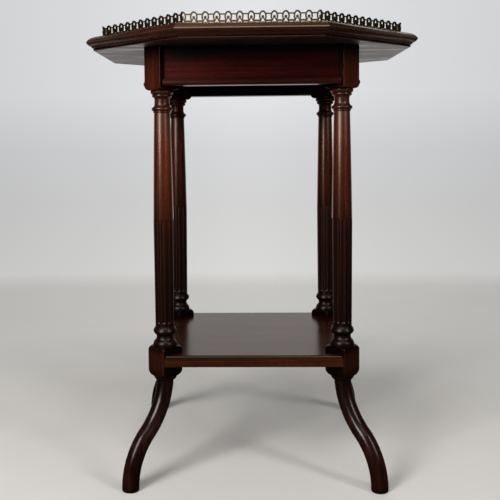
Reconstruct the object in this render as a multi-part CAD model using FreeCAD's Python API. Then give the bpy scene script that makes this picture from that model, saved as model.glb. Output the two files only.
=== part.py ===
import FreeCAD, Part
import math
import os

# Octagonal two-tier side table: a galleried top on four turned legs, an undertier and out-curved feet.
# Millimetres, +Z up, the front towards -Y. The origin is on the floor, under the middle of the table.

# Layout
LEG_SPACING = 280.0
FOOT_HEIGHT = 160.0
CUT_OVERRUN = 5.0

# Legs: each is turned from one square, set corner forward, and grows from the foot up
STOCK_SIDE = 38.0
LEG_END_RADIUS = 14.2
COLLAR_RISE = 7.0
COLLAR_RADIUS = 18.2
COLLAR_SWELL = 1.3
LOWER_POMMEL_RISE = 10.0
LOWER_BLOCK_RISE = 30.5
LOWER_SHOULDER_RISE = 7.0
POMMEL_SWELL_SHARE = 0.34
BASE_RADIUS = 18.6
BASE_RISE = 1.5
BELL_RISE = 7.7
BELL_RADIUS = 15.4
BELL_SWELL = 1.1
WAIST_RISE = 5.6
WAIST_RADIUS = 13.3
WAIST_HOLLOW = 0.6
RING_COVE_RISE = 4.0
RING_ROOT_RADIUS = 15.4
RING_COVE_HOLLOW = 0.8
RING_LOWER_RISE = 5.0
RING_TIP_RADIUS = 18.4
RING_UPPER_RISE = 6.7
RING_SWELL = 0.5
SHAFT_FOOT_RADIUS = 14.9
FLUTED_RISE = 171.5
SHAFT_GIRTH_RADIUS = 15.8
PLAIN_SHAFT_RISE = 164.0
SHAFT_NECK_RADIUS = 12.6
SHAFT_SWELL = 0.25
ASTRAGAL_STEP_RISE = 1.2
ASTRAGAL_FILLET_RISE = 2.0
ASTRAGAL_ROOT_RADIUS = 13.8
ASTRAGAL_RISE = 6.4
ASTRAGAL_SWELL = 2.6
NECK_COVE_RISE = 5.9
NECK_RADIUS = 11.7
NECK_COVE_HOLLOW = 0.6
NECK_RISE = 6.0
NECK_FLARE_RISE = 3.0
NECK_FLARE_RADIUS = 13.5
NECK_FLARE_HOLLOW = 0.4
LOWER_ROLL_RISE = 4.4
LOWER_ROLL_RADIUS = 14.6
LOWER_ROLL_SWELL = 1.5
UPPER_ROLL_RISE = 7.1
UPPER_ROLL_RADIUS = 16.0
UPPER_ROLL_SWELL = 2.4
UPPER_POMMEL_RISE = 5.0
UPPER_BLOCK_RISE = 61.1

# Flutes of the lower shaft
FLUTE_COUNT = 12
FLUTE_DEPTH = 1.5
FLUTE_LAND = 0.9
FLUTE_LOWER_MARGIN = 5.0
FLUTE_UPPER_MARGIN = 1.5

# Feet: round in section, an S curve that leans out along the table's diagonals
FOOT_RADIUS = 13.2
FOOT_SPLAY = 72.0
FOOT_SPRING = 11.5
FOOT_UPPER_BEND_SHARE = 0.53
FOOT_EDGE_ROUND = 2.5
FOOT_PAD_WALL = 1.0
SPIGOT_RADIUS = 6.0
SPIGOT_LENGTH = 22.0
SPIGOT_FIT = 0.15
SPIGOT_END_GAP = 1.0

# Frieze rails and the beads along their lower edges
RAIL_REACH = 20.0
RAIL_THICKNESS = 19.0
RAIL_HEIGHT = 60.5
TENON_THICKNESS = 8.0
TENON_SHOULDER = 8.0
TENON_END_SETBACK = 2.0
TENON_FIT = 0.15
TENON_END_GAP = 1.0
BEAD_DEPTH = 7.0
BEAD_RISE = 8.0
BEAD_SWELL = 2.0
BEAD_QUIRK_DEPTH = 3.2
BEAD_FILLET_RISE = 2.4
BEAD_FILLET_DEPTH = 2.2
BEAD_END_SETBACK = 4.0

# Undertier
UNDERTIER_REACH = 26.0
UNDERTIER_SEAT = 8.3
UNDERTIER_FIT = 0.2
UNDERTIER_EDGE_RISE = 13.0
UNDERTIER_QUIRK = 1.4
UNDERTIER_QUIRK_RISE = 0.6
UNDERTIER_LIP_RISE = 4.0
UNDERTIER_LIP_SET = 4.2
UNDERTIER_LIP_SWELL = 1.3
DOWEL_RADIUS = 4.0
DOWEL_LENGTH = 36.0
DOWEL_FIT = 0.1
DOWEL_END_GAP = 1.0

# Top: the edge moulding leans out to a nose and rolls back to the flat
TOP_APOTHEM = 251.3
EDGE_BEAD_RISE = 2.6
EDGE_BEAD_SWELL = 1.3
EDGE_BEAD_OUT = 0.6
EDGE_STEP_RISE = 0.5
EDGE_STEP_OUT = 1.0
EDGE_BAND_RISE = 3.2
EDGE_BAND_OUT = 3.0
EDGE_BAND_SWELL = 0.5
EDGE_OVOLO_RISE = 5.5
EDGE_OVOLO_OUT = 6.3
EDGE_OVOLO_SWELL = 1.3
EDGE_NOSE_RISE = 1.4
EDGE_NOSE_SWELL = 0.4
EDGE_THUMB_RISE = 8.0
EDGE_THUMB_IN = 11.4
EDGE_THUMB_SWELL = 2.3
EDGE_ARRIS_RISE = 0.5
EDGE_ARRIS_IN = 1.0

# Gallery: a pierced brass strip of oval hoops, each with a boss on a forked foot
GALLERY_INSET = 12.5
GALLERY_THICKNESS = 2.4
GALLERY_TONGUE = 2.0
GALLERY_FIT = 0.1
GALLERY_HOOPS = 11
GALLERY_BASE_RISE = 4.4
GALLERY_SILL_RISE = 1.9
HOOP_HALF_WIDTH = 5.6
HOOP_HALF_HEIGHT = 8.0
HOOP_BAND = 2.3
HOOP_SEAT_LAP = 3.0
TIE_HEIGHT = 13.0
TIE_RISE = 1.7
BOSS_RADIUS = 2.1
BOSS_HEIGHT = 8.5
FORK_WIDTH = 1.4
FORK_HALF_SPREAD = 4.6

# Fixing blocks and wood screws that hold the top
FIXING_BLOCK_LENGTH = 130.0
FIXING_BLOCK_WIDTH = 22.0
FIXING_BLOCK_HEIGHT = 24.0
SCREW_SPACING = 90.0
SCREW_LENGTH = 33.0
SCREW_SHANK_RADIUS = 2.0
SCREW_HEAD_RADIUS = 4.0
SCREW_HEAD_RISE = 2.6
SCREW_POINT_RISE = 5.0
SCREW_POINT_RADIUS = 0.3
SCREW_SINK = 1.0
SCREW_FIT = 0.1

# Names of the sides and corners, in turn from the front
SIDE_NAMES = ("front", "right", "back", "left")
CORNER_NAMES = ("front_right", "back_right", "back_left", "front_left")
GALLERY_NAMES = ("front", "front_right", "right", "back_right", "back", "back_left", "left", "front_left")
TOP_SIDES = len(GALLERY_NAMES)

# Places that follow from the sizes above
HALF_SPACING = LEG_SPACING / 2
STOCK_HALF_DIAGONAL = STOCK_SIDE / math.sqrt(2)
LOWER_BLOCK_Z = FOOT_HEIGHT + COLLAR_RISE
RAIL_FACE = HALF_SPACING + RAIL_REACH
RAIL_BACK = RAIL_FACE - RAIL_THICKNESS
UNDERTIER_Z = LOWER_BLOCK_Z + LOWER_POMMEL_RISE + UNDERTIER_SEAT
UNDERTIER_HALF = HALF_SPACING + UNDERTIER_REACH
GALLERY_APOTHEM = TOP_APOTHEM - GALLERY_INSET
GALLERY_HALF_LENGTH = GALLERY_APOTHEM * math.tan(math.pi / TOP_SIDES)
HOOP_PITCH = 2 * GALLERY_HALF_LENGTH / (GALLERY_HOOPS + 1)
GALLERY_DEPTH = FreeCAD.Vector(0, GALLERY_THICKNESS, 0)
UP = FreeCAD.Vector(0, 0, 1)
ORIGIN = FreeCAD.Vector(0, 0, 0)


def vec(x, y, z):
    return FreeCAD.Vector(x, y, z)


def turned_copy(shape, degrees):
    """A copy of a shape, turned about the table's upright axis."""
    copy = shape.copy()
    copy.rotate(ORIGIN, UP, degrees)
    return copy


def copies_round(shape, count):
    """Copies of a shape, evenly spaced round the upright axis, the first as it stands."""
    return [turned_copy(shape, index * 360 / count) for index in range(count)]


def centred_box(x_half, y_low, y_high, z_low, z_high):
    """A box that straddles the YZ plane."""
    return Part.makeBox(2 * x_half, y_high - y_low, z_high - z_low, vec(-x_half, y_low, z_low))


def prism(points, height):
    """An upright prism over a polygon."""
    outline = Part.makePolygon(points + points[:1])
    return Part.Face(outline).extrude(UP * height)


def climb(reach, z, steps):
    """Edges of an outline that climbs in XZ by (rise, end reach, swell) steps, and the point where it ends.

    Swell is how far a step's middle bows out from its chord, or in where it is below zero.
    """
    edges = []
    for rise, end_reach, swell in steps:
        start = vec(reach, 0, z)
        end = vec(end_reach, 0, z + rise)
        if swell:
            middle = (start + end) / 2 + vec(swell, 0, 0)
            edges.append(Part.Arc(start, middle, end).toShape())
        else:
            edges.append(Part.makeLine(start, end))
        reach = end_reach
        z = z + rise
    return edges, vec(reach, 0, z)


def leg_steps():
    """The turned outline of a leg, from the joint with its foot up to the underside of the top."""
    shoulder = STOCK_SIDE / 2
    corner = STOCK_HALF_DIAGONAL + CUT_OVERRUN
    pommel = (STOCK_HALF_DIAGONAL - shoulder) * POMMEL_SWELL_SHARE
    collar_and_block = [
        (COLLAR_RISE, COLLAR_RADIUS, COLLAR_SWELL),
        (0, shoulder, 0),
        (LOWER_POMMEL_RISE, STOCK_HALF_DIAGONAL, pommel),
        (0, corner, 0),
        (LOWER_BLOCK_RISE, corner, 0),
        (0, STOCK_HALF_DIAGONAL, 0),
        (LOWER_SHOULDER_RISE, shoulder, pommel),
        (0, BASE_RADIUS, 0),
    ]
    bell_and_ring = [
        (BASE_RISE, BASE_RADIUS, 0),
        (BELL_RISE, BELL_RADIUS, BELL_SWELL),
        (WAIST_RISE, WAIST_RADIUS, -WAIST_HOLLOW),
        (RING_COVE_RISE, RING_ROOT_RADIUS, -RING_COVE_HOLLOW),
        (RING_LOWER_RISE, RING_TIP_RADIUS, RING_SWELL),
        (RING_UPPER_RISE, SHAFT_FOOT_RADIUS, RING_SWELL),
    ]
    shaft = [
        (FLUTED_RISE, SHAFT_GIRTH_RADIUS, 0),
        (PLAIN_SHAFT_RISE, SHAFT_NECK_RADIUS, SHAFT_SWELL),
    ]
    capital = [
        (ASTRAGAL_STEP_RISE, ASTRAGAL_ROOT_RADIUS, 0),
        (ASTRAGAL_FILLET_RISE, ASTRAGAL_ROOT_RADIUS, 0),
        (ASTRAGAL_RISE, ASTRAGAL_ROOT_RADIUS, ASTRAGAL_SWELL),
        (NECK_COVE_RISE, NECK_RADIUS, -NECK_COVE_HOLLOW),
        (NECK_RISE, NECK_RADIUS, 0),
        (NECK_FLARE_RISE, NECK_FLARE_RADIUS, -NECK_FLARE_HOLLOW),
        (LOWER_ROLL_RISE, LOWER_ROLL_RADIUS, LOWER_ROLL_SWELL),
        (UPPER_ROLL_RISE, UPPER_ROLL_RADIUS, UPPER_ROLL_SWELL),
        (0, shoulder, 0),
        (UPPER_POMMEL_RISE, STOCK_HALF_DIAGONAL, pommel),
        (0, corner, 0),
        (UPPER_BLOCK_RISE, corner, 0),
    ]
    return collar_and_block, bell_and_ring, shaft, capital


def rise_of(steps):
    """How far a list of steps climbs."""
    return sum(rise for rise, reach, swell in steps)


COLLAR_AND_BLOCK, BELL_AND_RING, SHAFT, CAPITAL = leg_steps()
FLUTED_Z = FOOT_HEIGHT + rise_of(COLLAR_AND_BLOCK) + rise_of(BELL_AND_RING)
TOP_Z = FLUTED_Z + rise_of(SHAFT) + rise_of(CAPITAL)


def flute_cutters():
    """Round-ended cutters along the fluted shaft, with a narrow land left between them."""
    half_width = SHAFT_FOOT_RADIUS * math.sin(math.pi / FLUTE_COUNT) - FLUTE_LAND / 2
    radius = (half_width ** 2 + FLUTE_DEPTH ** 2) / (2 * FLUTE_DEPTH)
    low_z = FLUTED_Z + FLUTE_LOWER_MARGIN + half_width
    high_z = FLUTED_Z + FLUTED_RISE - FLUTE_UPPER_MARGIN - half_width
    taper = (SHAFT_GIRTH_RADIUS - SHAFT_FOOT_RADIUS) / FLUTED_RISE
    low_reach = SHAFT_FOOT_RADIUS + taper * (low_z - FLUTED_Z) + radius - FLUTE_DEPTH
    low = vec(low_reach, 0, low_z)
    high = vec(low_reach + taper * (high_z - low_z), 0, high_z)
    cutter = Part.makeCylinder(radius, (high - low).Length, low, high - low)
    cutter = cutter.fuse([Part.makeSphere(radius, low), Part.makeSphere(radius, high)]).removeSplitter()
    return copies_round(cutter, FLUTE_COUNT)


def tenon_bar(fit, end_gap):
    """The front rail's tenons, as one bar along the rail, grown by a fit for the mortises."""
    middle = -(RAIL_FACE + RAIL_BACK) / 2
    half = TENON_THICKNESS / 2 + fit
    low = TOP_Z - RAIL_HEIGHT + TENON_SHOULDER - fit
    high = TOP_Z - TENON_SHOULDER + fit
    return centred_box(HALF_SPACING - TENON_END_SETBACK + end_gap, middle - half, middle + half, low, high)


def spigot(fit, end_gap):
    """The round tenon on top of a foot, standing on the floor's origin."""
    return Part.makeCylinder(SPIGOT_RADIUS + fit, SPIGOT_LENGTH + end_gap, vec(0, 0, FOOT_HEIGHT))


def leg():
    """The front right leg, with its flutes, its two mortises and the sockets for its foot and dowel."""
    steps = COLLAR_AND_BLOCK + BELL_AND_RING + SHAFT + CAPITAL
    edges, end = climb(LEG_END_RADIUS, FOOT_HEIGHT, steps)
    low_axis = vec(0, 0, FOOT_HEIGHT)
    edges.append(Part.makeLine(end, vec(0, 0, end.z)))
    edges.append(Part.makeLine(vec(0, 0, end.z), low_axis))
    edges.append(Part.makeLine(low_axis, vec(LEG_END_RADIUS, 0, FOOT_HEIGHT)))
    turned = Part.Face(Part.Wire(edges)).revolve(ORIGIN, UP, 360)
    half = STOCK_SIDE / 2
    square = Part.makeBox(STOCK_SIDE, STOCK_SIDE, end.z, vec(-half, -half, 0))
    body = turned.common(turned_copy(square, 45))
    body = body.cut(flute_cutters() + [spigot(SPIGOT_FIT, SPIGOT_END_GAP)])
    body.translate(vec(HALF_SPACING, -HALF_SPACING, 0))
    mortise = tenon_bar(TENON_FIT, TENON_END_GAP)
    return body.cut([mortise, turned_copy(mortise, 90), dowel(DOWEL_FIT, DOWEL_END_GAP)])


def foot():
    """The front right foot: two bends that turn alike, a short upright pad and the spigot above."""
    spring_z = FOOT_HEIGHT + FOOT_SPRING
    stand = FOOT_EDGE_ROUND + FOOT_PAD_WALL
    drop = spring_z - stand
    turn = 2 * math.atan2(FOOT_SPLAY, drop)
    upper_bend = drop / math.sin(turn) * FOOT_UPPER_BEND_SHARE
    lower_bend = drop / math.sin(turn) - upper_bend
    high = Part.Face(Part.Wire(Part.makeCircle(FOOT_RADIUS, vec(0, 0, spring_z))))
    low = Part.Face(Part.Wire(Part.makeCircle(FOOT_RADIUS, vec(FOOT_SPLAY, 0, stand))))
    across = vec(0, 1, 0)
    upper = high.revolve(vec(upper_bend, 0, spring_z), across, -math.degrees(turn))
    lower = low.revolve(vec(FOOT_SPLAY - lower_bend, 0, stand), across, -math.degrees(turn))
    pad = Part.makeCylinder(FOOT_RADIUS, stand, vec(FOOT_SPLAY, 0, 0))
    floor_edge = [edge for edge in pad.Edges if edge.BoundBox.ZMax < stand / 2]
    pad = pad.makeFillet(FOOT_EDGE_ROUND, floor_edge)
    width = 2 * (FOOT_SPLAY + FOOT_RADIUS)
    above = Part.makeBox(width, width, 2 * FOOT_SPRING, vec(-width / 2, -width / 2, FOOT_HEIGHT))
    body = upper.cut(above).fuse([lower, pad, spigot(0, 0)]).removeSplitter()
    body.rotate(ORIGIN, UP, -45)
    body.translate(vec(HALF_SPACING, -HALF_SPACING, 0))
    return body


def block_slot_end(distance):
    """How far along X the front right block's slanted face lies, at a distance in front of the middle."""
    return distance - STOCK_HALF_DIAGONAL


def between_blocks(back, front, z_low, z_high):
    """The room between the two front blocks, with ends that lie on their slanted faces."""
    far = block_slot_end(front)
    near = block_slot_end(back)
    plan = [
        vec(-far, -front, z_low),
        vec(far, -front, z_low),
        vec(near, -back, z_low),
        vec(-near, -back, z_low),
    ]
    return prism(plan, z_high - z_low)


def rail():
    """The front rail: a board scribed to the blocks, with a tenon at each end."""
    board = between_blocks(RAIL_BACK, RAIL_FACE, TOP_Z - RAIL_HEIGHT, TOP_Z)
    return board.fuse(tenon_bar(0, 0)).removeSplitter()


def bead():
    """The front bead: a half round under a small fillet, its ends cut square short of the arrises."""
    low = TOP_Z - RAIL_HEIGHT
    steps = [
        (BEAD_RISE, BEAD_DEPTH, BEAD_SWELL),
        (0, BEAD_QUIRK_DEPTH, 0),
        (BEAD_FILLET_RISE, BEAD_FILLET_DEPTH, 0),
        (0, 0, 0),
    ]
    edges, end = climb(BEAD_DEPTH, low, steps)
    edges.append(Part.makeLine(end, vec(0, 0, low)))
    edges.append(Part.makeLine(vec(0, 0, low), vec(BEAD_DEPTH, 0, low)))
    front = RAIL_FACE + BEAD_DEPTH + BEAD_SWELL
    half_length = HALF_SPACING - BEAD_END_SETBACK
    strip = Part.Face(Part.Wire(edges)).extrude(vec(0, 2 * half_length, 0))
    strip.rotate(ORIGIN, UP, -90)
    strip.translate(vec(-half_length, -RAIL_FACE, 0))
    room = between_blocks(RAIL_FACE, front + CUT_OVERRUN, low - CUT_OVERRUN, low + RAIL_HEIGHT)
    return strip.common(room)


def moulded_log(half_width, z, steps):
    """A slab with both long edges moulded, run well past its own width along Y."""
    edges, end = climb(half_width, z, steps)
    mirror = [edge.mirror(ORIGIN, vec(1, 0, 0)) for edge in edges]
    edges.append(Part.makeLine(end, vec(-end.x, 0, end.z)))
    edges.append(Part.makeLine(vec(-half_width, 0, z), vec(half_width, 0, z)))
    outline = Part.Wire(Part.__sortEdges__(edges + mirror))
    half_length = 2 * half_width
    log = Part.Face(outline).extrude(vec(0, 2 * half_length, 0))
    log.translate(vec(0, -half_length, 0))
    return log


def top_edge_steps():
    """The moulding of the top's edge, from the underside up."""
    bead_end = TOP_APOTHEM + EDGE_BEAD_OUT
    band_start = bead_end + EDGE_STEP_OUT
    band_end = band_start + EDGE_BAND_OUT
    ovolo_start = band_end + EDGE_STEP_OUT
    nose = ovolo_start + EDGE_OVOLO_OUT
    arris = nose - EDGE_THUMB_IN
    return [
        (EDGE_BEAD_RISE, bead_end, EDGE_BEAD_SWELL),
        (EDGE_STEP_RISE, band_start, 0),
        (EDGE_BAND_RISE, band_end, EDGE_BAND_SWELL),
        (EDGE_STEP_RISE, ovolo_start, 0),
        (EDGE_OVOLO_RISE, nose, EDGE_OVOLO_SWELL),
        (EDGE_NOSE_RISE, nose, EDGE_NOSE_SWELL),
        (EDGE_THUMB_RISE, arris, EDGE_THUMB_SWELL),
        (EDGE_ARRIS_RISE, arris - EDGE_ARRIS_IN, 0),
    ]


TOP_FLAT_Z = TOP_Z + rise_of(top_edge_steps())


def octagon(apothem, z_low, z_high):
    """An upright octagonal prism with one side square to the front."""
    radius = apothem / math.cos(math.pi / TOP_SIDES)
    turn = 2 * math.pi / TOP_SIDES
    angles = [(index + 0.5) * turn for index in range(TOP_SIDES)]
    points = [vec(radius * math.cos(angle), radius * math.sin(angle), z_low) for angle in angles]
    return prism(points, z_high - z_low)


def top_board():
    """The octagonal top, with a groove for the gallery and pilot holes for the screws."""
    log = moulded_log(TOP_APOTHEM, TOP_Z, top_edge_steps())
    board = log
    for index in range(1, TOP_SIDES // 2):
        board = board.common(turned_copy(log, index * 360 / TOP_SIDES))
    groove_z = TOP_FLAT_Z - GALLERY_TONGUE - GALLERY_FIT
    outer = octagon(GALLERY_APOTHEM + GALLERY_FIT, groove_z, TOP_FLAT_Z + CUT_OVERRUN)
    inner = octagon(GALLERY_APOTHEM - GALLERY_THICKNESS - GALLERY_FIT, groove_z, TOP_FLAT_Z + CUT_OVERRUN)
    board = board.cut(outer.cut(inner)).removeSplitter()
    return board.cut(all_screws(SCREW_FIT))


def hoop_copies(shape):
    """A shape at each hoop of one length, counted from its middle, with half a hoop at each mitre."""
    last = (GALLERY_HOOPS + 1) / 2
    copies = []
    for index in range(GALLERY_HOOPS + 2):
        copy = shape.copy()
        copy.translate(vec((index - last) * HOOP_PITCH, 0, 0))
        copies.append(copy)
    return copies


def flat_piece(points):
    """A flat polygon in XZ, as thick as the gallery."""
    return Part.Face(Part.makePolygon(points + points[:1])).extrude(GALLERY_DEPTH)


def oval_piece(half_width, half_height):
    """An oval on the hoop's centre, as thick as the gallery."""
    centre = vec(0, 0, GALLERY_BASE_RISE - HOOP_SEAT_LAP + HOOP_HALF_HEIGHT)
    across = centre + vec(half_width, 0, 0)
    above = centre + vec(0, 0, half_height)
    return Part.Face(Part.Wire(Part.Ellipse(above, across, centre).toShape())).extrude(GALLERY_DEPTH)


def gallery_base(rise):
    """The gallery's plain foot up to a height, with the tongue that goes into the groove."""
    half = GALLERY_HALF_LENGTH + CUT_OVERRUN
    return centred_box(half, 0, GALLERY_THICKNESS, -GALLERY_TONGUE, rise)


def fork():
    """The two prongs that carry a hoop's boss, as loose solids."""
    boss_at = vec(0, 0, BOSS_HEIGHT)
    prongs = []
    for side in (-1, 1):
        foot_at = vec(side * FORK_HALF_SPREAD, 0, 0)
        along = foot_at - boss_at
        aside = vec(along.z, 0, -along.x).normalize() * (FORK_WIDTH / 2)
        prongs.append(flat_piece([boss_at + aside, foot_at + aside, foot_at - aside, boss_at - aside]))
    return prongs


def hoop_opening():
    """What is pierced from one hoop: the oval above the base and the arch below, less the boss and fork."""
    arch = flat_piece([vec(0, 0, BOSS_HEIGHT), vec(-FORK_HALF_SPREAD, 0, 0), vec(FORK_HALF_SPREAD, 0, 0)])
    oval = oval_piece(HOOP_HALF_WIDTH - HOOP_BAND, HOOP_HALF_HEIGHT - HOOP_BAND)
    boss = Part.makeCylinder(BOSS_RADIUS, GALLERY_THICKNESS, vec(0, 0, BOSS_HEIGHT), GALLERY_DEPTH)
    oval = oval.cut(gallery_base(GALLERY_BASE_RISE))
    arch = arch.cut(gallery_base(GALLERY_SILL_RISE))
    return oval.fuse(arch).cut(fork() + [boss])


def gallery_length():
    """The front length of the gallery, pierced, and mitred through the half hoops at its ends."""
    half_tie = TIE_RISE / 2
    tie_half = GALLERY_HALF_LENGTH + CUT_OVERRUN
    tie = centred_box(tie_half, 0, GALLERY_THICKNESS, TIE_HEIGHT - half_tie, TIE_HEIGHT + half_tie)
    hoop = oval_piece(HOOP_HALF_WIDTH, HOOP_HALF_HEIGHT).fuse(fork())
    plate = gallery_base(GALLERY_BASE_RISE).fuse([tie] + hoop_copies(hoop)).cut(hoop_copies(hoop_opening()))
    low = -GALLERY_TONGUE - CUT_OVERRUN
    inner_half = GALLERY_HALF_LENGTH - GALLERY_THICKNESS * math.tan(math.pi / TOP_SIDES)
    plan = [
        vec(-GALLERY_HALF_LENGTH, 0, low),
        vec(GALLERY_HALF_LENGTH, 0, low),
        vec(inner_half, GALLERY_THICKNESS, low),
        vec(-inner_half, GALLERY_THICKNESS, low),
    ]
    strip = plate.common(prism(plan, 2 * HOOP_HALF_HEIGHT + GALLERY_BASE_RISE - 2 * low)).removeSplitter()
    strip.translate(vec(0, -GALLERY_APOTHEM, TOP_FLAT_Z))
    return strip


def dowel(fit, end_gap):
    """The dowel between the undertier and the front right leg, along the diagonal."""
    reach = HALF_SPACING * math.sqrt(2) - STOCK_SIDE / 2 - DOWEL_LENGTH / 2 - end_gap
    middle_z = UNDERTIER_Z + UNDERTIER_EDGE_RISE / 2
    start = vec(reach, 0, middle_z)
    pin = Part.makeCylinder(DOWEL_RADIUS + fit, DOWEL_LENGTH + 2 * end_gap, start, vec(1, 0, 0))
    pin.rotate(ORIGIN, UP, -45)
    return pin


def undertier():
    """The square undertier, its edge moulded and its corners slotted round the legs' lower blocks."""
    lip = UNDERTIER_HALF - UNDERTIER_QUIRK
    steps = [
        (UNDERTIER_EDGE_RISE, UNDERTIER_HALF, 0),
        (UNDERTIER_QUIRK_RISE, lip, 0),
        (UNDERTIER_LIP_RISE, lip - UNDERTIER_LIP_SET, UNDERTIER_LIP_SWELL),
    ]
    log = moulded_log(UNDERTIER_HALF, UNDERTIER_Z, steps)
    board = log.common(turned_copy(log, 90))
    half = STOCK_SIDE / 2 + UNDERTIER_FIT
    start = HALF_SPACING * math.sqrt(2) - half
    rise = rise_of(steps) + 2 * CUT_OVERRUN
    slot = Part.makeBox(UNDERTIER_HALF, 2 * half, rise, vec(start, -half, UNDERTIER_Z - CUT_OVERRUN))
    slot.rotate(ORIGIN, UP, -45)
    hole = dowel(DOWEL_FIT, DOWEL_END_GAP)
    corners = len(CORNER_NAMES)
    return board.cut(copies_round(slot, corners) + copies_round(hole, corners))


def screw(fit):
    """A countersunk screw at the middle of the front fixing block, grown by a fit for its hole."""
    low = TOP_Z - FIXING_BLOCK_HEIGHT + SCREW_SINK
    shank = SCREW_SHANK_RADIUS + fit
    shank_rise = SCREW_LENGTH - SCREW_HEAD_RISE - SCREW_POINT_RISE
    steps = [
        (SCREW_HEAD_RISE, shank, 0),
        (shank_rise, shank, 0),
        (SCREW_POINT_RISE + fit, SCREW_POINT_RADIUS + fit, 0),
        (0, 0, 0),
    ]
    head = SCREW_HEAD_RADIUS + fit
    edges, end = climb(head, low, steps)
    edges.append(Part.makeLine(end, vec(0, 0, low)))
    edges.append(Part.makeLine(vec(0, 0, low), vec(head, 0, low)))
    body = Part.Face(Part.Wire(edges)).revolve(ORIGIN, UP, 360)
    if fit:
        body = body.fuse(Part.makeCylinder(head, SCREW_SINK + CUT_OVERRUN, vec(0, 0, low), -UP))
    body.translate(vec(0, -(RAIL_BACK - FIXING_BLOCK_WIDTH / 2), 0))
    return body


def rail_screws(fit):
    """The two screws behind the front rail."""
    pair = []
    for side in (-1, 1):
        copy = screw(fit)
        copy.translate(vec(side * SCREW_SPACING / 2, 0, 0))
        pair.append(copy)
    return pair


def all_screws(fit):
    """The screws behind all the rails, as a list of solids."""
    return [copy for body in rail_screws(fit) for copy in copies_round(body, len(SIDE_NAMES))]


def fixing_block():
    """The front fixing block, glued behind the rail and under the top, bored for its screws."""
    back = -RAIL_BACK + FIXING_BLOCK_WIDTH
    block = centred_box(FIXING_BLOCK_LENGTH / 2, -RAIL_BACK, back, TOP_Z - FIXING_BLOCK_HEIGHT, TOP_Z)
    return block.cut(rail_screws(SCREW_FIT))


def save(shape, node):
    """Write one node, and print its count of solids and its volume."""
    shape.exportStep(os.path.join("parts", node + ".step"))
    print(node, len(shape.Solids), round(shape.Volume), shape.isValid())


def save_turned(shape, stem, names):
    """Write the copies of a shape that stand round the table, named from the front or front right on."""
    for name, copy in zip(names, copies_round(shape, len(names))):
        save(copy, stem + "_" + name)


os.makedirs("parts", exist_ok=True)
save(top_board(), "top_board")
save_turned(gallery_length(), "gallery", GALLERY_NAMES)
save_turned(rail(), "rail", SIDE_NAMES)
save_turned(bead(), "bead", SIDE_NAMES)
save_turned(fixing_block(), "fixing_block", SIDE_NAMES)
save_turned(leg(), "leg", CORNER_NAMES)
save_turned(foot(), "foot", CORNER_NAMES)
save(undertier(), "undertier")
save(Part.makeCompound(all_screws(0)), "top_screws")
save(Part.makeCompound(copies_round(dowel(0, 0), len(CORNER_NAMES))), "undertier_dowels")
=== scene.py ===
from math import pi, radians

import bmesh
import bpy
from mathutils import Matrix, Vector


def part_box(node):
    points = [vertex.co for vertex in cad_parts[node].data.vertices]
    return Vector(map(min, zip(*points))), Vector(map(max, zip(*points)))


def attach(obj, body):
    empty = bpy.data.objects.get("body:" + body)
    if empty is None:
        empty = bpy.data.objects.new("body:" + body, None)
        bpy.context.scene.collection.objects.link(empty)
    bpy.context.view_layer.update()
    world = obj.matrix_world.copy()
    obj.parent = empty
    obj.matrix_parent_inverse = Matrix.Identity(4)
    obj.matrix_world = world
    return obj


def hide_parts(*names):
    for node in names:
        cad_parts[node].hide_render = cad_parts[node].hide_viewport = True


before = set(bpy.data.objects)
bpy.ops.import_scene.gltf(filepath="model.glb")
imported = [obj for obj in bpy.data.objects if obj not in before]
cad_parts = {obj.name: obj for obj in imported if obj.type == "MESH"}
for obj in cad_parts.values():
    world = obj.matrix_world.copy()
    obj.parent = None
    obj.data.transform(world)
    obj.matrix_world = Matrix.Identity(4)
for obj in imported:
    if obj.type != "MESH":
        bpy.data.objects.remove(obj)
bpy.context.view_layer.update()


# Feet
# Four round feet of solid mahogany, sawn to an outward curve and rounded by hand, each with a spigot glued
# up into the leg above it. Painted shade darkens each foot below the collar, and its polish is scuffed to a
# dull brown at the floor.
FOOT_TONES = ((0.006, 0.0012, 0.0009), (0.015, 0.0032, 0.0020), (0.031, 0.0080, 0.0044))
FOOT_GLOSS = 0.23
FOOT_HEIGHT = 0.16
FOOT_SHADE_AND_SCUFF = ((0.0, (0.75, 0.97, 1.0)), (0.25, (0.80, 0.98, 1.0)), (0.5, 1.0), (1.0, 0.35))
FOOT_SCUFF = (0.040, 0.085)
FOOT_COAT = ((0.0, 0.10), (1.0, 0.60))
CORNERS = ("front_right", "back_right", "back_left", "front_left")

# Mahogany: width of a streak, its length in widths, and detail
FIGURE = (0.040, 7, 3)
STREAKS = (0.0045, 38, 5)
PORES = (0.0007, 14, 2)
GRAIN_BREAK = 0.6
STREAK_SHARE = 0.45
GRAIN_STEPS = (0.38, 0.50, 0.63)
PORE_SHADES = ((0.36, 0.55), (0.46, 1.0))
PORE_BUMP, PORE_DEPTH = 0.25, 0.0002
# Painted shade in hollows: its reach, its ramp and the samples taken
HOLLOW_REACH = 0.010
PAINTED_HOLLOW_SHADES = ((0.45, 0.10), (0.95, 1.0))
HOLLOW_SAMPLES = 8
WORN_WOOD = (0.11, 0.055, 0.036)
POLISH_GLOSS = 0.22
GLOSS_CHANGES = ((0.3, -0.03), (0.7, 0.06))
POLISH_TINT = (1.0, 0.72, 0.60)
POLISH_IOR = 1.5
RIPPLE_BUMP, RIPPLE_DEPTH = 0.10, 0.001


def feed(tree, socket, value):
    """Fills a socket with another socket, a number or a tone."""
    if isinstance(value, bpy.types.NodeSocket):
        tree.links.new(value, socket)
    elif isinstance(value, tuple):
        socket.default_value = (*value, 1)
    else:
        socket.default_value = value


def place_of(tree, kind="Object"):
    """The X, Y and Z of the point that is shaded."""
    where = tree.nodes.new("ShaderNodeTexCoord")
    parts = tree.nodes.new("ShaderNodeSeparateXYZ")
    feed(tree, parts.inputs[0], where.outputs[kind])
    return parts.outputs


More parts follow.
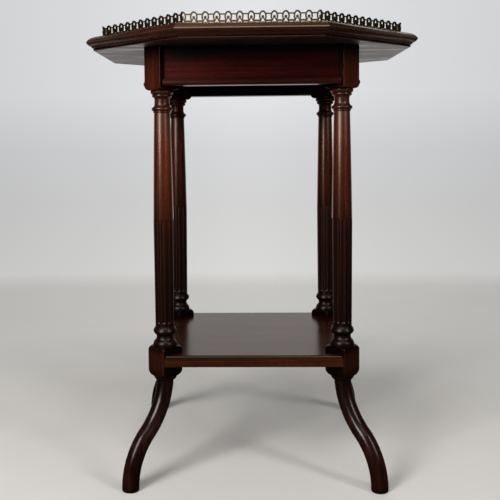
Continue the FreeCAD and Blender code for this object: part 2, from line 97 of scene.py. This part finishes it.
def between(tree, value, low, high, easing="LINEAR"):
    """0 where value is low, rising to 1 where it is high."""
    rise = tree.nodes.new("ShaderNodeMapRange")
    rise.interpolation_type = easing
    rise.inputs["From Min"].default_value = low
    rise.inputs["From Max"].default_value = high
    feed(tree, rise.inputs["Value"], value)
    return rise.outputs["Result"]


def rise_between(tree, low, high):
    """0 at height low to 1 at height high."""
    return between(tree, place_of(tree)["Z"], low, high)


def grain_streaks(tree, along, width, stretch, detail):
    """Noise drawn out along the grain: streaks of one width in metres, stretch times as long."""
    where = tree.nodes.new("ShaderNodeTexCoord")
    run = tree.nodes.new("ShaderNodeMapping")
    scale = [1 / width] * 3
    scale["XYZ".index(along)] /= stretch
    run.inputs["Scale"].default_value = scale
    feed(tree, run.inputs["Vector"], where.outputs["Object"])
    noise = tree.nodes.new("ShaderNodeTexNoise")
    noise.inputs["Scale"].default_value = 1
    noise.inputs["Detail"].default_value = detail
    noise.inputs["Roughness"].default_value = GRAIN_BREAK
    feed(tree, noise.inputs["Vector"], run.outputs["Vector"])
    return noise.outputs[0]


def sum_of(tree, first, second, share):
    """first * (1 - share) + second * share."""
    mix = tree.nodes.new("ShaderNodeMix")
    mix.inputs[0].default_value = share
    feed(tree, mix.inputs[2], first)
    feed(tree, mix.inputs[3], second)
    return mix.outputs[0]


def ramp(tree, value, stops):
    """A colour or grey ramp: stops of (position, tone)."""
    node = tree.nodes.new("ShaderNodeValToRGB")
    steps = node.color_ramp.elements
    while len(steps) < len(stops):
        steps.new(0.5)
    for step, (position, tone) in zip(steps, stops):
        step.position = position
        step.color = (*tone, 1) if isinstance(tone, tuple) else (tone, tone, tone, 1)
    feed(tree, node.inputs["Fac"], value)
    return node.outputs["Color"]


def mixed(tree, share, first, second, blend="MIX"):
    """The first colour, changed to the second by share."""
    mix = tree.nodes.new("ShaderNodeMix")
    mix.data_type = "RGBA"
    mix.blend_type = blend
    feed(tree, mix.inputs[0], share)
    feed(tree, mix.inputs[6], first)
    feed(tree, mix.inputs[7], second)
    return mix.outputs[2]


def darkened(tree, tint, colour):
    """colour darkened by tint, for grain and patina and for painted shade."""
    return mixed(tree, 1.0, colour, tint, "MULTIPLY")


def hollow_shade_and_patina(tree, reach, shades):
    """Darkening in hollows narrower than reach, from ambient occlusion: painted shade on the wood, patina
    on the brass.
    """
    hollow = tree.nodes.new("ShaderNodeAmbientOcclusion")
    hollow.inputs["Distance"].default_value = reach
    hollow.samples = HOLLOW_SAMPLES
    return ramp(tree, hollow.outputs["AO"], shades)


def bumped(tree, height, strength, depth):
    bump = tree.nodes.new("ShaderNodeBump")
    bump.inputs["Strength"].default_value = strength
    bump.inputs["Distance"].default_value = depth
    feed(tree, bump.inputs["Height"], height)
    return bump.outputs["Normal"]


def new_finish(name):
    """A new material, its node tree and its surface."""
    finish = bpy.data.materials.new(name)
    finish.use_nodes = True
    return finish, finish.node_tree, finish.node_tree.nodes["Principled BSDF"]


def polished_mahogany(
    name, along, tones, gloss=POLISH_GLOSS, coat=1.0, lustre=0.0, shade=None, wear_and_highlight_tone=WORN_WOOD,
    waviness=RIPPLE_BUMP,
):
    """Mahogany with its grain along one axis, under clear polish (coat) and red-tinted polish (lustre).
    shade adds a tint that follows the form: painted shade, a painted reflection on the top's front, and
    scuffing on the feet."""
    finish, tree, polish = new_finish(name)
    figure = grain_streaks(tree, along, *FIGURE)
    streaks = grain_streaks(tree, along, *STREAKS)
    pores = grain_streaks(tree, along, *PORES)
    grain = sum_of(tree, figure, streaks, STREAK_SHARE)
    wood = ramp(tree, grain, list(zip(GRAIN_STEPS, tones)))
    wood = darkened(tree, ramp(tree, pores, PORE_SHADES), wood)
    # Painted shade in the hollows
    wood = darkened(tree, hollow_shade_and_patina(tree, HOLLOW_REACH, PAINTED_HOLLOW_SHADES), wood)
    if shade:
        wood = darkened(tree, shade(tree), wood)
    # Pale marks from the mesh attribute: wear, and on the legs' arrises and the top's edge a painted
    # highlight
    wear_and_highlight_mark = tree.nodes.new("ShaderNodeAttribute")
    wear_and_highlight_mark.attribute_name = "wear_and_highlight"
    wood = mixed(tree, wear_and_highlight_mark.outputs["Fac"], wood, wear_and_highlight_tone)
    feed(tree, polish.inputs["Base Color"], wood)
    gloss_stops = [(step, gloss + change) for step, change in GLOSS_CHANGES]
    feed(tree, polish.inputs["Roughness"], ramp(tree, streaks, gloss_stops))
    feed(tree, polish.inputs["Specular IOR Level"], lustre)
    feed(tree, polish.inputs["Specular Tint"], POLISH_TINT)
    feed(tree, polish.inputs["Coat Weight"], coat)
    feed(tree, polish.inputs["Coat Roughness"], gloss)
    feed(tree, polish.inputs["Coat IOR"], POLISH_IOR)
    feed(tree, polish.inputs["Normal"], bumped(tree, pores, PORE_BUMP, PORE_DEPTH))
    feed(tree, polish.inputs["Coat Normal"], bumped(tree, figure, waviness, RIPPLE_DEPTH))
    return finish


def refinish(node, finish):
    """Gives a CAD node's object its real finish."""
    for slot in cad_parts[node].material_slots:
        slot.material = finish


def foot_shade_and_scuff(tree):
    """Painted shade darkening the foot below the collar, and a greyer brown where it is scuffed at the
    floor.
    """
    return ramp(tree, rise_between(tree, 0, FOOT_HEIGHT), FOOT_SHADE_AND_SCUFF)


foot_finish = polished_mahogany("foot_mahogany", "Z", FOOT_TONES, FOOT_GLOSS, shade=foot_shade_and_scuff)
tree = foot_finish.node_tree
polish_left = ramp(tree, rise_between(tree, *FOOT_SCUFF), FOOT_COAT)
feed(tree, tree.nodes["Principled BSDF"].inputs["Coat Weight"], polish_left)
for corner in CORNERS:
    refinish(f"foot_{corner}", foot_finish)


# Legs
# Four legs, each turned and fluted from one square of mahogany set corner forward, with a block left square
# near each end for the joints. The blocks' arrises are pale with wear and a painted highlight. Painted
# shade darkens each leg by height, and darker tones on the back legs and the blocks' inward faces are
# painted shade.
LEG_TONES = ((0.036, 0.0056, 0.0014), (0.072, 0.0120, 0.0030), (0.112, 0.0240, 0.0060))
SHADED_BACK_TONES = ((0.020, 0.0030, 0.0008), (0.040, 0.0066, 0.0017), (0.062, 0.0132, 0.0033))
SHADED_CORNER_TONES = ((0.010, 0.0016, 0.0006), (0.020, 0.0034, 0.0012), (0.034, 0.0070, 0.0024))
LEG_HEIGHT = 0.70
LEG_PAINTED_SHADES = (
    (0.172, 0.12), (0.182, 0.32), (0.202, 0.29), (0.208, 0.10), (0.220, 0.08), (0.30, 0.09), (0.395, 0.19),
    (0.425, 0.46), (0.46, 0.80), (0.54, 1.0), (0.585, 0.52), (0.612, 0.52), (0.62, 0.66), (0.642, 0.57),
    (0.651, 0.45), (0.660, 0.33), (0.669, 0.17), (0.680, 0.07),
)
LOWER_BLOCK_TOP = 0.2125
LEG_ZONES = (
    (LOWER_BLOCK_TOP, "block"), (0.2480, "base"), (0.4145, "flute"), (0.5785, "shaft"), (0.6120, "neck"),
    (LEG_HEIGHT, "block"),
)
SHAFT_POLISH = ((0.45, 0.19), (0.52, 0.23), (0.578, 0.38))
OUTWARD = 0.5
ARRIS_WEAR_AND_HIGHLIGHT = (0.30, 0.21, 0.19)
LOWER_ARRIS_WEAR_AND_HIGHLIGHT = 0.15
LEG_ARRIS = 0.0013
ARRIS_STEPS = 3
BLOCK_EDGE = 0.010
BLOCK_CORNER = radians(60)
UPRIGHT_SLACK = 1e-5
FACING_SLACK = 1e-3
WELD = 1e-6
FLAT_ANGLE = radians(0.05)
CREASE = radians(32)

# Tones, gloss, clear coat and tinted polish of each zone
LEG_POLISH = {
    "block": (LEG_TONES, 0.42, 0.3, 0.0),
    "base": (LEG_TONES, 0.35, 0.4, 0.0),
    "flute": (LEG_TONES, 0.30, 0.2, 0.2),
    "shaft": (LEG_TONES, 0.23, 0.15, 1.0),
    "neck": (LEG_TONES, 0.30, 0.8, 0.0),
    "corner": (SHADED_CORNER_TONES, 0.42, 0.2, 0.0),
    "back_shaft": (SHADED_BACK_TONES, 0.23, 0.1, 0.7),
    "back_neck": (SHADED_BACK_TONES, 0.30, 0.4, 0.0),
}


def eased(node, name, picks, width, is_flat=None):
    """A copy of a CAD node whose picked arrises are rounded over and marked pale: wear, and on the legs and
    the top a painted highlight.
    """
    form = bmesh.new()
    form.from_mesh(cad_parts[node].data)
    wear_and_highlight = form.faces.layers.float.new("wear_and_highlight")
    bmesh.ops.remove_doubles(form, verts=form.verts, dist=WELD)
    bmesh.ops.dissolve_limit(
        form, angle_limit=FLAT_ANGLE, verts=form.verts, edges=form.edges, delimit=set()
    )
    rounded = bmesh.ops.bevel(
        form, geom=[edge for edge in form.edges if edge.is_manifold and picks(edge)], offset=width,
        offset_type="OFFSET", segments=ARRIS_STEPS, profile=0.5, affect="EDGES", clamp_overlap=True,
    )
    for face in rounded["faces"]:
        face[wear_and_highlight] = 1.0
    form.normal_update()
    for face in form.faces:
        face.smooth = True
    for edge in form.edges:
        crease = edge.calc_face_angle(0) > CREASE
        if is_flat and edge.is_manifold:
            first, second = (is_flat(face) for face in edge.link_faces)
            crease = crease or first != second
        edge.smooth = not crease
    mesh = bpy.data.meshes.new(name)
    form.to_mesh(mesh)
    form.free()
    piece = bpy.data.objects.new(name, mesh)
    bpy.context.scene.collection.objects.link(piece)
    crisp = piece.modifiers.new("flat_faces_stay_flat", "WEIGHTED_NORMAL")
    crisp.keep_sharp = True
    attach(piece, "root")
    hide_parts(node)
    return piece


def is_block_arris(edge):
    low, high = (point.co for point in edge.verts)
    upright = (low.xy - high.xy).length < UPRIGHT_SLACK
    return upright and abs(low.z - high.z) > BLOCK_EDGE and edge.calc_face_angle() > BLOCK_CORNER


def is_block_face(face):
    diagonal = abs(abs(face.normal.x) - abs(face.normal.y)) < FACING_SLACK
    return diagonal and abs(face.normal.z) < FACING_SLACK


def up_the_leg(tree, stops):
    """A ramp up the leg: stops of (height, tone)."""
    return ramp(tree, rise_between(tree, 0, LEG_HEIGHT), [(z / LEG_HEIGHT, tone) for z, tone in stops])


def leg_painted_shade(tree):
    """Painted shade up the leg: dark on the turned base, in the flutes, at the neck and towards the top of
    each block, full tone on the plain shaft.
    """
    return up_the_leg(tree, LEG_PAINTED_SHADES)


leg_finish = {
    zone: polished_mahogany(
        f"{zone}_mahogany", "Z", tones, gloss, coat, lustre, shade=leg_painted_shade, wear_and_highlight_tone=ARRIS_WEAR_AND_HIGHLIGHT
    )
    for zone, (tones, gloss, coat, lustre) in LEG_POLISH.items()
}
for zone in ("shaft", "back_shaft"):
    tree = leg_finish[zone].node_tree
    feed(tree, tree.nodes["Principled BSDF"].inputs["Roughness"], up_the_leg(tree, SHAFT_POLISH))
zone_order = list(leg_finish)
for corner in CORNERS:
    leg = eased(f"leg_{corner}", f"turned_leg_{corner}", is_block_arris, LEG_ARRIS, is_block_face)
    for zone in zone_order:
        leg.data.materials.append(leg_finish[zone])
    low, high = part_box(f"leg_{corner}")
    outward = Vector((low.x + high.x, low.y + high.y, 0)).normalized()
    arris_wear_and_highlight = leg.data.attributes["wear_and_highlight"].data
    for face in leg.data.polygons:
        zone = next(zone for zone_top, zone in LEG_ZONES if face.center.z < zone_top)
        # Painted shade: the block faces that do not face outward get dark tones
        if is_block_face(face) and face.normal.dot(outward) < OUTWARD:
            zone = "corner"
        # Painted shade: the back legs' shaft and neck get darker tones
        elif corner.startswith("back") and zone in ("shaft", "neck"):
            zone = f"back_{zone}"
        face.material_index = zone_order.index(zone)
        # Fainter pale arris mark on the lower blocks, which is wear and painted highlight
        if face.center.z < LOWER_BLOCK_TOP:
            arris_wear_and_highlight[face.index].value *= LOWER_ARRIS_WEAR_AND_HIGHLIGHT


# Undertier
# A square mahogany shelf with a moulded edge, notched at its corners round the legs' lower blocks and
# held to them by dowels. Its polished top mirrors the room, and its edge is a warmer brown. Painted shade
# darkens the lip above the edge and the top.
TIER_TONES = ((0.019, 0.0042, 0.0006), (0.038, 0.0090, 0.0014), (0.062, 0.0170, 0.0032))
TIER_GLOSS = 0.20
TIER_COAT = 0.72
TIER_WAVINESS = 0.35
TIER_ARRIS = 0.0005
TIER_LIP = 0.0046
TIER_TOP_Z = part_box("undertier")[1].z
TIER_PAINTED_SHADES = ((0.0, 0.85), (0.13, 0.45), (0.90, 0.45), (0.99, (0.55, 0.36, 0.5)))
SHARP_ANGLE = radians(40)


def is_sharp(edge):
    return edge.calc_face_angle() > SHARP_ANGLE


def tier_painted_shade(tree):
    """Painted shade: darker on the lip than on the edge below it, and darker and less red on the top."""
    return ramp(tree, rise_between(tree, TIER_TOP_Z - TIER_LIP, TIER_TOP_Z), TIER_PAINTED_SHADES)


tier_finish = polished_mahogany(
    "undertier_mahogany", "X", TIER_TONES, TIER_GLOSS, TIER_COAT, shade=tier_painted_shade, waviness=TIER_WAVINESS
)
tier = eased("undertier", "shelf_undertier", is_sharp, TIER_ARRIS)
tier.data.materials.append(tier_finish)


# Frieze rails
# Four mahogany rails with their grain along the length, tenoned into the upper blocks. They hold the
# top's weight and carry a bead along the lower edge.
RAIL_TONES = ((0.020, 0.0010, 0.0004), (0.043, 0.0028, 0.0012), (0.076, 0.0080, 0.0040))
RAIL_COAT = 0.8
RAIL_RUNS = {"front": "X", "back": "X", "right": "Y", "left": "Y"}
RAIL_FOOT, RAIL_HEAD = (corner.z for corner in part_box("rail_front"))
# Painted shade of the rails, by height and on the inner faces
RAIL_PAINTED_SHADES = ((0.0, 1.0), (0.3, 0.95), (0.6, 0.5), (0.85, 0.16), (1.0, 0.05))
RAIL_INSIDE = -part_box("rail_front")[1].y
INSIDE_DEPTH = (0.001, 0.003)
INSIDE_PAINTED_SHADES = ((0.0, 0.08), (1.0, 1.0))


def calc(tree, operation, *values):
    """The result of one step of arithmetic on numbers and sockets."""
    step = tree.nodes.new("ShaderNodeMath")
    step.operation = operation
    for socket, value in zip(step.inputs, values):
        feed(tree, socket, value)
    return step.outputs[0]


def rail_painted_shade(across):
    """Painted shade: darker towards the top, under the top's overhang, and dark on the inner face."""

    def shade(tree):
        out = calc(tree, "ABSOLUTE", place_of(tree)[across])
        skin = [RAIL_INSIDE + depth for depth in INSIDE_DEPTH]
        inside = ramp(tree, between(tree, out, *skin), INSIDE_PAINTED_SHADES)
        height = ramp(tree, rise_between(tree, RAIL_FOOT, RAIL_HEAD), RAIL_PAINTED_SHADES)
        return darkened(tree, inside, height)

    return shade


rail_finish = {
    along: polished_mahogany(
        f"rail_mahogany_{along.lower()}", along, RAIL_TONES, coat=RAIL_COAT, shade=rail_painted_shade(across)
    )
    for along, across in ("XY", "YX")
}
for side, along in RAIL_RUNS.items():
    refinish(f"rail_{side}", rail_finish[along])


# Bead mouldings
# Four lengths of planed bead glued under the frieze, between the legs, with a fine quirk above the round
# nose. The polish on the nose is rubbed thin by dusting.
BEAD_TONES = ((0.018, 0.0022, 0.0012), (0.038, 0.0050, 0.0028), (0.064, 0.0120, 0.0070))
BEAD_GLOSS = 0.35
BEAD_COAT = 0.35
bead_finish = {
    along: polished_mahogany(f"bead_mahogany_{along.lower()}", along, BEAD_TONES, BEAD_GLOSS, BEAD_COAT)
    for along in "XY"
}
for side, along in RAIL_RUNS.items():
    refinish(f"bead_{side}", bead_finish[along])


# Fixing blocks, dowels and screws
# Hidden work: four plain timber blocks glued inside the frieze under the top, eight countersunk steel
# screws up through them, and four dowels that hold the undertier to the legs.
TIMBER_GRAIN = (0.003, 30, 4)
TIMBER_TONES = ((0.3, (0.20, 0.11, 0.055)), (0.7, (0.34, 0.21, 0.11)))
TIMBER_ROUGHNESS = 0.75
TARNISH = (0.002, 1, 4)
SCREW_TONES = ((0.35, (0.09, 0.08, 0.07)), (0.7, (0.30, 0.29, 0.27)))
SCREW_GLOSS = ((0.3, 0.6), (0.7, 0.38))


def plain_timber(name):
    finish, tree, timber = new_finish(name)
    grain = grain_streaks(tree, "X", *TIMBER_GRAIN)
    feed(tree, timber.inputs["Base Color"], ramp(tree, grain, TIMBER_TONES))
    feed(tree, timber.inputs["Roughness"], TIMBER_ROUGHNESS)
    return finish


def screw_metal(name):
    finish, tree, metal = new_finish(name)
    feed(tree, metal.inputs["Metallic"], 1.0)
    tarnish = grain_streaks(tree, "Z", *TARNISH)
    feed(tree, metal.inputs["Base Color"], ramp(tree, tarnish, SCREW_TONES))
    feed(tree, metal.inputs["Roughness"], ramp(tree, tarnish, SCREW_GLOSS))
    return finish


timber_finish = plain_timber("fixing_timber")
for side in RAIL_RUNS:
    refinish(f"fixing_block_{side}", timber_finish)
refinish("undertier_dowels", timber_finish)
refinish("top_screws", screw_metal("screw_metal"))


# Top
# One octagonal mahogany board with its edge moulded in the solid, screwed up from the fixing blocks. The
# front edge carries a painted reflection on its thumb moulding and a painted highlight on its nose, lower
# bead and arrises, faint on the other sides, and the underside is planed and oiled.
FRONT_SHEEN_TONES = ((0.028, 0.0125, 0.0054), (0.053, 0.0265, 0.0116), (0.088, 0.0480, 0.0232))
UNDER_NOSE_TINT = (0.56, 0.29, 0.29)
EDGE_TONES = ((0.0128, 0.0034, 0.0016), (0.0245, 0.0072, 0.0034), (0.0410, 0.0130, 0.0067))
FLAT_TONES = ((0.0238, 0.0050, 0.0019), (0.0450, 0.0106, 0.0042), (0.0748, 0.0192, 0.0084))
FRONT_COAT = 0.8
EDGE_COAT = 0.5
FLAT_GLOSS, FLAT_COAT = 0.34, 0.4
UNDERSIDE_FIGURE = (0.028, 5, 4)
UNDERSIDE_STREAKS = (0.0035, 30, 4)
UNDERSIDE_STREAK_SHARE = 0.5
UNDERSIDE_STEPS = (0.34, 0.52, 0.70)
UNDERSIDE_GLOSS = ((0.40, 0.26), (0.60, 0.66))
UNDERSIDE_LUSTRE = 0.85
UNDERSIDE_COAT, UNDERSIDE_COAT_GLOSS = 0.4, 0.4
UNDERSIDE_DROP = -0.9
TOP_FLAT = 0.999
FRONT_SPREAD = 3
TOP_ARRIS = 0.0004
TOP_FOOT_Z, TOP_Z = (corner.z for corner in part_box("top_board"))
NOSE_DROP = 0.0085
NOSE_Z = TOP_Z - NOSE_DROP
NOSE_HEIGHT = 0.0016
FADE_HEIGHT = 0.001
BEAD_HEIGHT = 0.0014
BEAD_Z = TOP_FOOT_Z + BEAD_HEIGHT
THUMB_DROP = 0.0013
THUMB_Z = TOP_Z - THUMB_DROP
PAINTED_NOSE_HIGHLIGHT = (0.19, 0.134, 0.107)
BEAD_HIGHLIGHT = 0.10
THUMB_SHEEN = 0.5
OFF_FRONT_HIGHLIGHT = 0.12


def front_painted_sheen(tree):
    """Painted reflection on the thumb moulding, which is paler and olive, and the wood's own red under the
    nose.
    """
    height = rise_between(tree, NOSE_Z - FADE_HEIGHT, NOSE_Z + FADE_HEIGHT)
    return ramp(tree, height, ((0.0, UNDER_NOSE_TINT), (1.0, 1.0)))


def bare_mahogany(name):
    """The top's underside: planed and oiled, not polished, so the grain breaks up its sheen."""
    finish, tree, wood = new_finish(name)
    figure = grain_streaks(tree, "X", *UNDERSIDE_FIGURE)
    streaks = grain_streaks(tree, "X", *UNDERSIDE_STREAKS)
    grain = sum_of(tree, figure, streaks, UNDERSIDE_STREAK_SHARE)
    feed(tree, wood.inputs["Base Color"], ramp(tree, grain, list(zip(UNDERSIDE_STEPS, EDGE_TONES))))
    feed(tree, wood.inputs["Roughness"], ramp(tree, grain, UNDERSIDE_GLOSS))
    feed(tree, wood.inputs["Specular IOR Level"], UNDERSIDE_LUSTRE)
    feed(tree, wood.inputs["Coat Weight"], UNDERSIDE_COAT)
    feed(tree, wood.inputs["Coat Roughness"], UNDERSIDE_COAT_GLOSS)
    return finish


top_finish = {
    "front": polished_mahogany(
        "top_front_mahogany_painted_sheen", "X", FRONT_SHEEN_TONES, coat=FRONT_COAT, shade=front_painted_sheen, wear_and_highlight_tone=PAINTED_NOSE_HIGHLIGHT
    ),
    "underside": bare_mahogany("top_underside"),
    "edge": polished_mahogany("top_edge_mahogany", "X", EDGE_TONES, coat=EDGE_COAT, wear_and_highlight_tone=PAINTED_NOSE_HIGHLIGHT),
    "flat": polished_mahogany("top_flat_mahogany", "X", FLAT_TONES, FLAT_GLOSS, FLAT_COAT),
}
face_order = list(top_finish)
top = eased("top_board", "moulded_top", is_sharp, TOP_ARRIS)
for kind in face_order:
    top.data.materials.append(top_finish[kind])
painted_highlight = top.data.attributes["wear_and_highlight"].data
for face in top.data.polygons:
    # The front faces take the finish with the painted reflection, the other edge faces the wood's own
    # darker tone
    at_front = -face.center.y > abs(face.center.x) * FRONT_SPREAD
    kind = "front" if at_front else "edge"
    if face.normal.z < UNDERSIDE_DROP:
        kind = "underside"
    elif face.normal.z > TOP_FLAT:
        kind = "flat"
    face.material_index = face_order.index(kind)
    # Painted highlight on the nose, the lower bead and the eased arrises, painted reflection on the upward
    # thumb faces, all faint off the front
    if NOSE_Z - NOSE_HEIGHT < face.center.z < NOSE_Z:
        painted_highlight[face.index].value = 1.0
    elif face.center.z < BEAD_Z and kind != "underside":
        painted_highlight[face.index].value = BEAD_HIGHLIGHT
    elif face.center.z > THUMB_Z and 0 < face.normal.z < TOP_FLAT:
        painted_highlight[face.index].value = THUMB_SHEEN
    if not at_front:
        painted_highlight[face.index].value *= OFF_FRONT_HIGHLIGHT


# Brass gallery
# Eight straight lengths of cast brass, pierced as a row of hoops over a thin foot, mitred at the corners
# and let into a groove in the top. Aged to olive brown in the hollows and bright where it is handled.
GALLERY_SIDES = ("front", "front_right", "right", "back_right", "back", "back_left", "left", "front_left")
PATINA = (0.006, 1, 5)
BRASS_TONES = ((0.30, (0.060, 0.043, 0.015)), (0.50, (0.15, 0.110, 0.038)), (0.72, (0.40, 0.30, 0.12)))
BRASS_GLOSS = ((0.3, 0.50), (0.7, 0.26))
BRASS_HOLLOW_REACH = 0.003
BRASS_HOLLOW_SHADES = ((0.2, 0.25), (0.8, 1.0))
GALLERY_ARRIS = 0.0003


def aged_brass(name):
    finish, tree, metal = new_finish(name)
    feed(tree, metal.inputs["Metallic"], 1.0)
    patina = grain_streaks(tree, "X", *PATINA)
    hollow = hollow_shade_and_patina(tree, BRASS_HOLLOW_REACH, BRASS_HOLLOW_SHADES)
    feed(tree, metal.inputs["Base Color"], darkened(tree, hollow, ramp(tree, patina, BRASS_TONES)))
    feed(tree, metal.inputs["Roughness"], ramp(tree, patina, BRASS_GLOSS))
    return finish


brass_finish = aged_brass("gallery_brass_aged")
for side in GALLERY_SIDES:
    length = eased(f"gallery_{side}", f"pierced_gallery_{side}", is_sharp, GALLERY_ARRIS)
    length.data.materials.append(brass_finish)


# Studio floor
# A plain paper floor that fades into the pale surroundings, as a paper sweep does, alike on all four
# sides. The polish mirrors its front part as dim, and it is clear from below, to show the underside.
FLOOR_HALF = 6.0
FLOOR_REACH = 2.0
FLOOR_FADE = ((0.45, 0.0), (0.90, 0.48), (1.60, 0.59), (1.95, 1.0))
PAPER_MOTTLE = (0.25, 1, 3)
PAPER_TONES = ((0.3, (0.68, 0.68, 0.67)), (0.7, (0.71, 0.71, 0.70)))
PAPER_ROUGHNESS = 0.8
PAPER_SHEEN = 0.2
DIM_FLOOR = (0.06, 0.055, 0.05)
DIM_FLOOR_EDGE = (0.9, 0.3)
floor_mesh = bpy.data.meshes.new("studio_floor")
floor_corners = [(x * FLOOR_HALF, y * FLOOR_HALF, 0) for x, y in ((-1, -1), (1, -1), (1, 1), (-1, 1))]
floor_mesh.from_pydata(floor_corners, [], [(0, 1, 2, 3)])
floor = bpy.data.objects.new("studio_floor", floor_mesh)
bpy.context.scene.collection.objects.link(floor)
paper, tree, surface = new_finish("floor_paper")
feed(tree, surface.inputs["Roughness"], PAPER_ROUGHNESS)
feed(tree, surface.inputs["Specular IOR Level"], PAPER_SHEEN)
paper_tone = ramp(tree, grain_streaks(tree, "X", *PAPER_MOTTLE), PAPER_TONES)
spot = place_of(tree)
ray = tree.nodes.new("ShaderNodeLightPath").outputs
in_front = between(tree, spot["Y"], *DIM_FLOOR_EDGE, easing="SMOOTHSTEP")
mirrored_dim = calc(tree, "MULTIPLY", in_front, ray["Is Glossy Ray"])
feed(tree, surface.inputs["Base Color"], mixed(tree, mirrored_dim, paper_tone, DIM_FLOOR))
squares = [calc(tree, "MULTIPLY", spot[axis], spot[axis]) for axis in "XY"]
fourths = [calc(tree, "POWER", square, 2) for square in squares]
distance = calc(tree, "POWER", calc(tree, "ADD", *fourths), 1 / 4)
fade_stops = [(reach / FLOOR_REACH, share) for reach, share in FLOOR_FADE]
fade = ramp(tree, calc(tree, "DIVIDE", distance, FLOOR_REACH), fade_stops)
side_seen = tree.nodes.new("ShaderNodeNewGeometry")
gone = calc(tree, "MAXIMUM", fade, side_seen.outputs["Backfacing"])
clear = tree.nodes.new("ShaderNodeBsdfTransparent")
sheet = tree.nodes.new("ShaderNodeMixShader")
feed(tree, sheet.inputs[0], gone)
feed(tree, sheet.inputs[1], surface.outputs[0])
feed(tree, sheet.inputs[2], clear.outputs[0])
feed(tree, tree.nodes["Material Output"].inputs["Surface"], sheet.outputs[0])
floor_mesh.materials.append(paper)


# Studio surroundings
# A pale backdrop all round, seen by the camera and mirrored in the polish. Towards the front and overhead
# it is mirrored as a dim room, and it lights the table only softly.
BACKDROP = (0.74, 0.705, 0.69)
DIM_ROOM = 0.02
AMBIENT = (0.17, 0.17, 0.17)
BEHIND = (0.55, 0.90)
CEILING = (0.55, 0.30)
WALL_SPAN = 0.20
WALL_TONES = (
    (0.10, (0.69, 0.685, 0.67)), (0.32, (0.65, 0.65, 0.65)),
    (0.48, (0.67, 0.675, 0.69)), (0.65, (0.77, 0.78, 0.80)),
)
WALL_CORNERS = ((0.02, 1.0), (0.28, 0.83))
studio = bpy.data.worlds.new("studio")
bpy.context.scene.world = studio
studio.use_nodes = True
tree = studio.node_tree
ray = tree.nodes.new("ShaderNodeLightPath").outputs
heading = place_of(tree, "Generated")
behind = between(tree, heading["Y"], *BEHIND, easing="SMOOTHSTEP")
below_ceiling = between(tree, heading["Z"], *CEILING, easing="SMOOTHSTEP")
pale_wall = calc(tree, "MULTIPLY", behind, below_ceiling)
mirrored = ramp(tree, pale_wall, ((0.0, DIM_ROOM), (1.0, BACKDROP)))
lighting = mixed(tree, ray["Is Glossy Ray"], AMBIENT, mirrored)
# As the camera sees it, the backdrop is painted darker round the horizon and towards the corners: painted
# shade
wall = ramp(tree, between(tree, heading["Z"], -WALL_SPAN, WALL_SPAN), WALL_TONES)
turned = calc(tree, "ABSOLUTE", calc(tree, "MULTIPLY", heading["X"], heading["Y"]))
wall = darkened(tree, ramp(tree, turned, WALL_CORNERS), wall)
seen = calc(tree, "MAXIMUM", ray["Is Camera Ray"], ray["Is Transmission Ray"])
feed(tree, tree.nodes["Background"].inputs["Color"], mixed(tree, seen, lighting, wall))


# Studio lights
# Two tall softboxes in front, left and right of the camera, with their lower edges above the top, one
# broad softbox high in front, and a dim one behind. Their light is a little warm.
LAMP_TONE = (1.0, 0.96, 0.91)

# Place, height of the aim, width, height and power of each
SOFTBOXES = {
    "softbox_left": ((-1.30, -1.95, 1.36), 0.55, 0.8, 1.3, 58),
    "softbox_right": ((1.68, -1.62, 1.50), 0.55, 0.45, 1.2, 21),
    "softbox_front_top": ((0, -1.7, 2.5), 0.4, 1.6, 0.9, 16),
    "softbox_back": ((0.4, 2.4, 2.2), 0.4, 1.6, 1.2, 14),
}
for name, (place, aim_z, width, height, power) in SOFTBOXES.items():
    lamp = bpy.data.lights.new(name, "AREA")
    lamp.color = LAMP_TONE
    lamp.shape = "RECTANGLE"
    lamp.size = width
    lamp.size_y = height
    lamp.energy = power
    stand = bpy.data.objects.new(name, lamp)
    stand.location = place
    stand.rotation_euler = (Vector((0, 0, aim_z)) - Vector(place)).to_track_quat("-Z", "Y").to_euler()
    bpy.context.scene.collection.objects.link(stand)


# Camera
# Stands in front at the photograph's place, lower than the top and turned slightly to the left, with the
# lens shifted only as far as the framing needs.
PHOTO_SIDE = 500
FOCAL_PIXELS = 822.7
SENSOR_WIDTH = 36
LENS_SHIFT = (0.05, -0.124)
CAMERA_PLACE = (-0.0059, -1.4269, 0.5332)
CAMERA_TURN = radians(1.641)
CAMERA_TILT = radians(-3.127)
CAMERA_ROLL = radians(-0.541)
lens = bpy.data.cameras.new("camera")
lens.sensor_width = SENSOR_WIDTH
lens.lens = FOCAL_PIXELS / PHOTO_SIDE * SENSOR_WIDTH
lens.shift_x, lens.shift_y = LENS_SHIFT
camera = bpy.data.objects.new("camera", lens)
camera.matrix_world = (
    Matrix.Translation(CAMERA_PLACE)
    @ Matrix.Rotation(CAMERA_TURN, 4, "Z")
    @ Matrix.Rotation(pi / 2 + CAMERA_TILT, 4, "X")
    @ Matrix.Rotation(CAMERA_ROLL, 4, "Z")
)
bpy.context.scene.collection.objects.link(camera)
bpy.context.scene.camera = camera
bpy.context.scene.view_settings.view_transform = "Standard"
